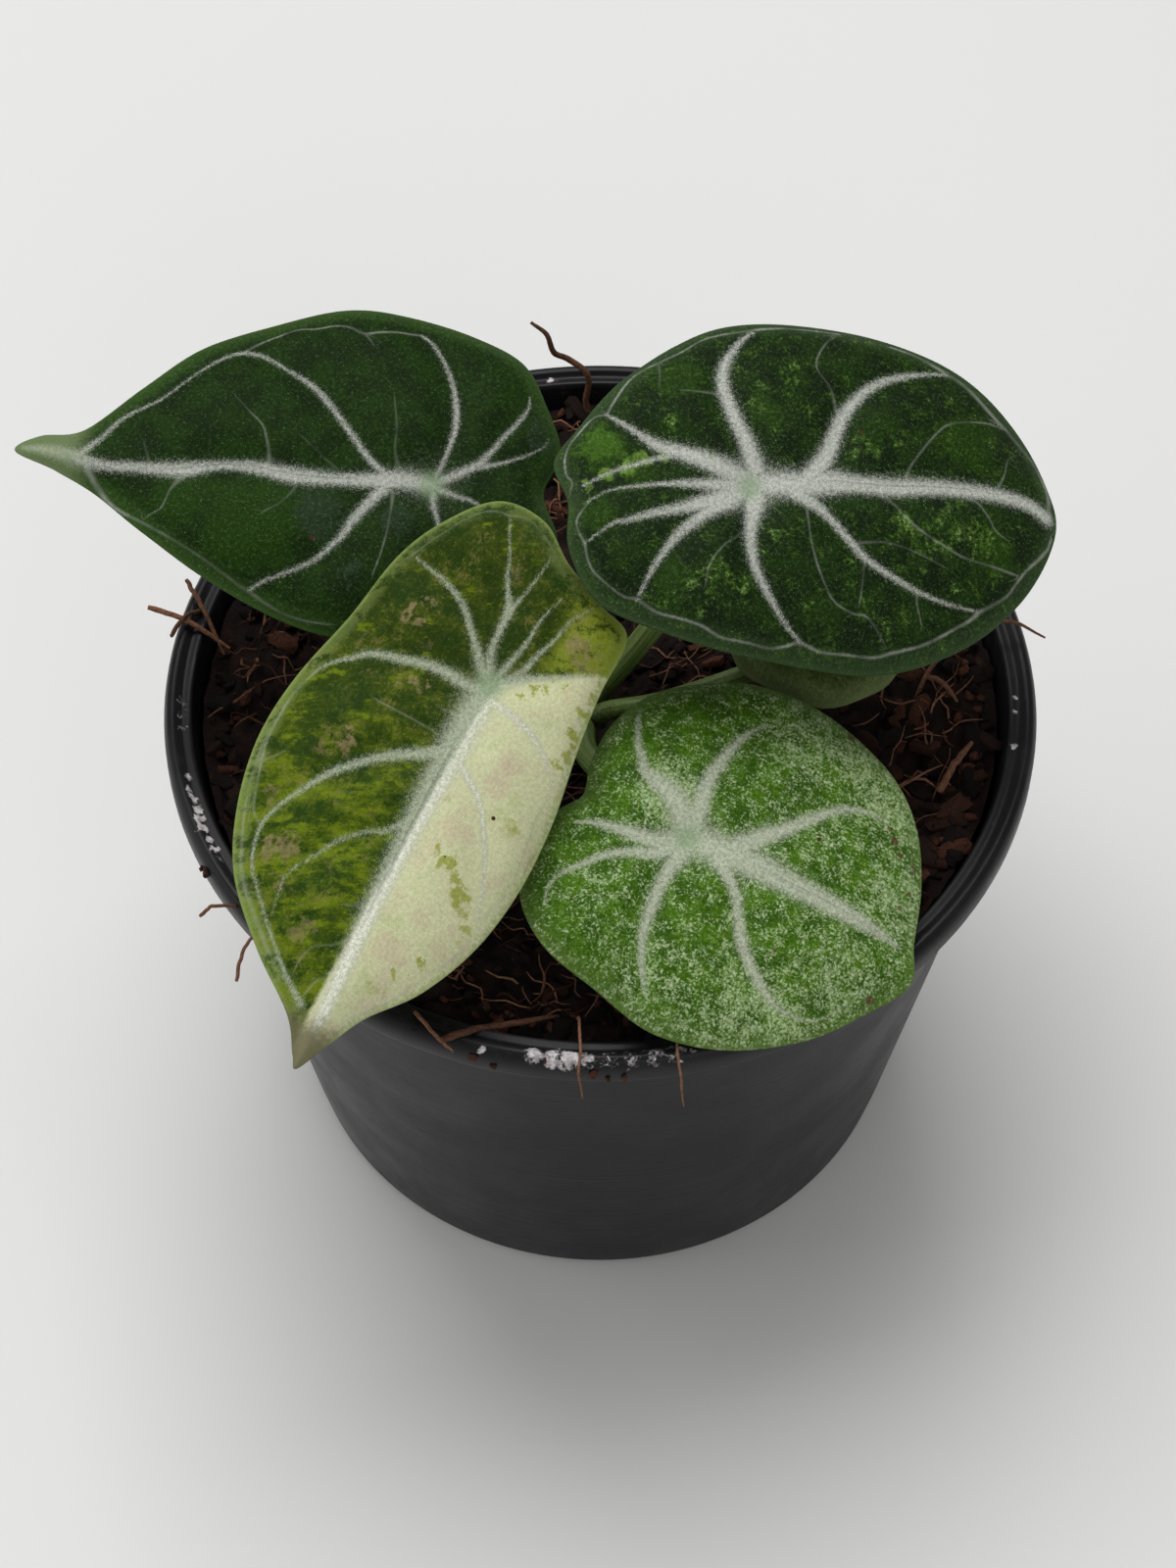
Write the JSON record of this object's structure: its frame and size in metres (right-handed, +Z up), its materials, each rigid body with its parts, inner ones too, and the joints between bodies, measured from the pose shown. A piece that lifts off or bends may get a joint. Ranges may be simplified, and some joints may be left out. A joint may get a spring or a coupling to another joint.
{
  "type": "potted alocasia plant",
  "caption": "Small aroid house plant with silver-veined shield-shaped leaves on slim stalks, growing in coir soil in a round black nursery pot.",
  "frame": {"origin": "centre of the pot's flat underside, on the surface that the pot stands on", "axes": "+Z up along the pot's axis, -Y towards the front, +X to the right seen from the front"},
  "size_m": [0.1154, 0.1064, 0.1097],
  "materials": {
    "pot": "satin",
    "soil": "matte",
    "stalk": "satin",
    "leaf_dark": "satin",
    "leaf_variegated": "satin",
    "leaf_mid": "satin",
    "leaf_pale": "satin"
  },
  "bodies": {
    "root": {"pot": "pot", "soil": "soil", "crown": "stalk", "stalk_left": "stalk", "leaf_left": "leaf_dark", "stalk_right": "stalk", "leaf_right": "leaf_dark", "stalk_front_left": "stalk", "leaf_front_left": "leaf_variegated", "stalk_front_right": "stalk", "leaf_front_right": "leaf_mid", "stalk_small": "stalk", "leaf_small": "leaf_pale"}
  },
  "joints": []
}
